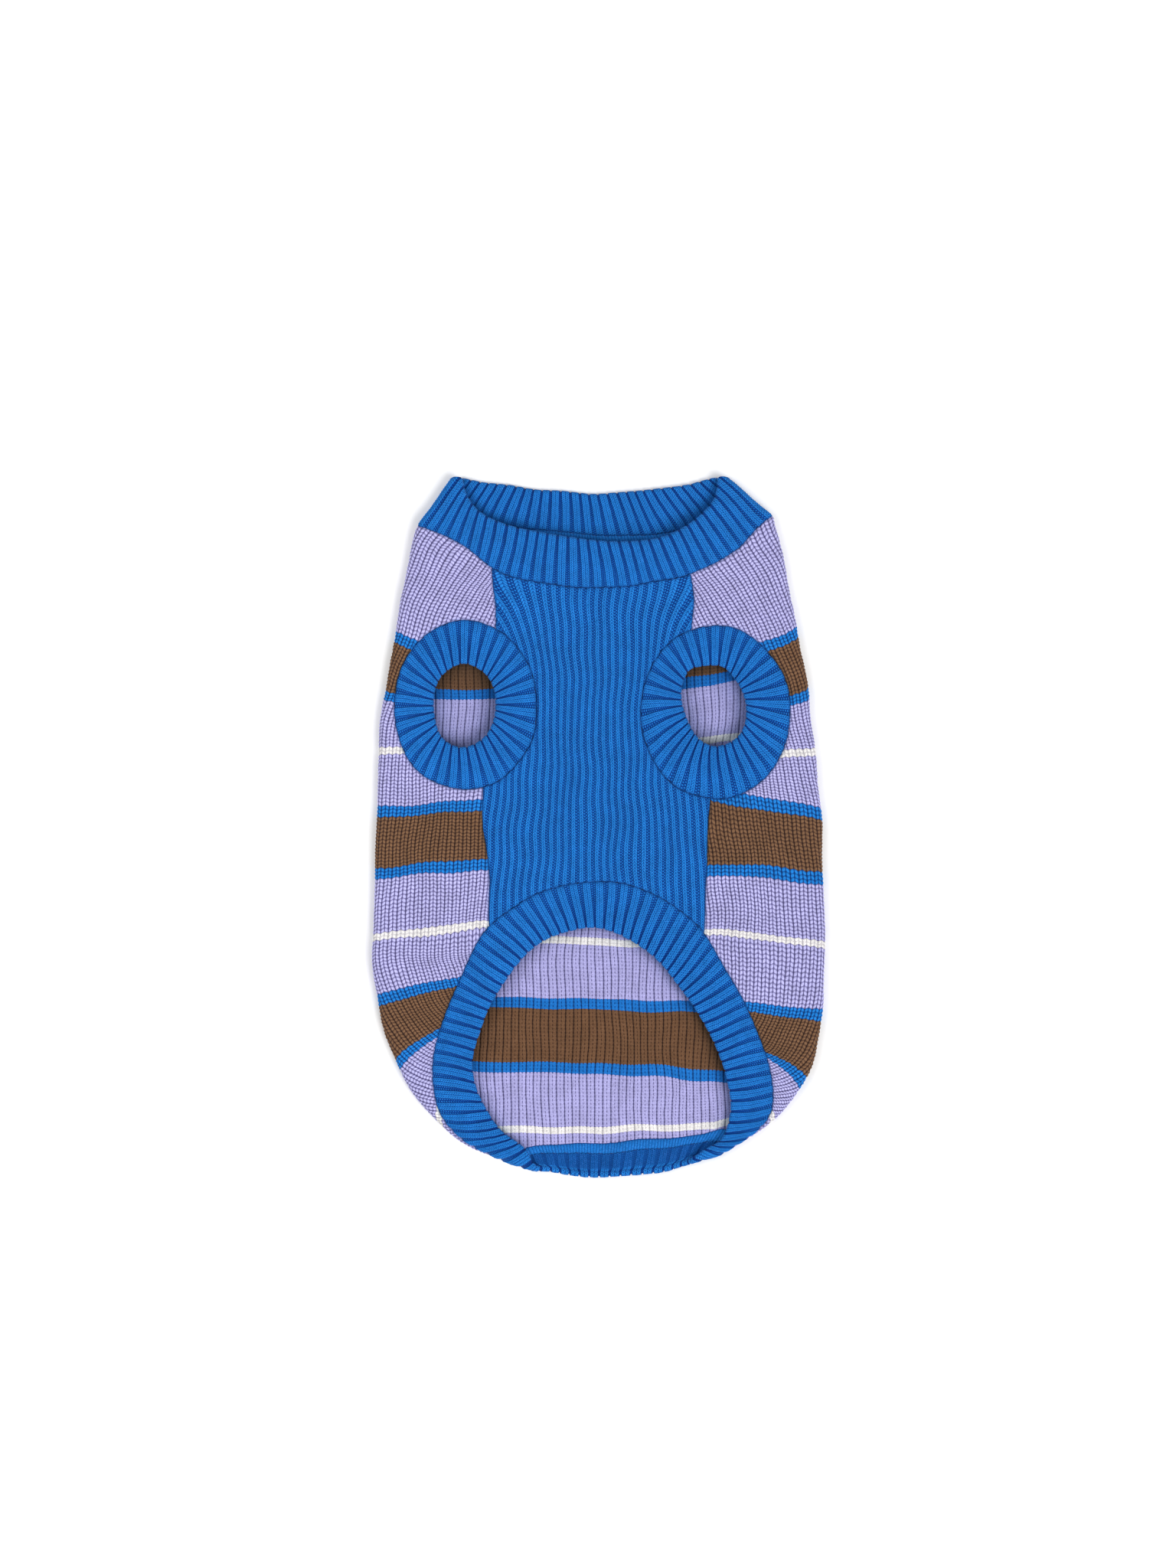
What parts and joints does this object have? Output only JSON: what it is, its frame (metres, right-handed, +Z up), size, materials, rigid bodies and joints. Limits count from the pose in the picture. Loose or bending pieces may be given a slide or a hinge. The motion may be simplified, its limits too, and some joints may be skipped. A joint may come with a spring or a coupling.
{
  "type": "dog sweater",
  "caption": "Knitted dog sweater laid flat with its belly side up: striped back, ribbed belly panel, collar and leg cuffs, and a ribbed band round the cut under the belly.",
  "frame": {"origin": "middle of the sweater's footprint, on the surface it lies on", "axes": "+X to the right with the neck away from the viewer, +Y towards the neck, +Z up out of the belly side, away from the surface"},
  "size_m": [0.2121, 0.3302, 0.0117],
  "materials": {
    "blue_rib": "matt ribbed knit in blue wool",
    "striped_knit": "matt half-cardigan knit in lilac wool with blue, brown and white stripes across"
  },
  "bodies": {
    "root": {"back_panel": "striped_knit", "belly_panel": "blue_rib", "collar": "blue_rib", "leg_cuff_left": "blue_rib", "leg_cuff_right": "blue_rib", "hem_band": "blue_rib"}
  },
  "joints": []
}
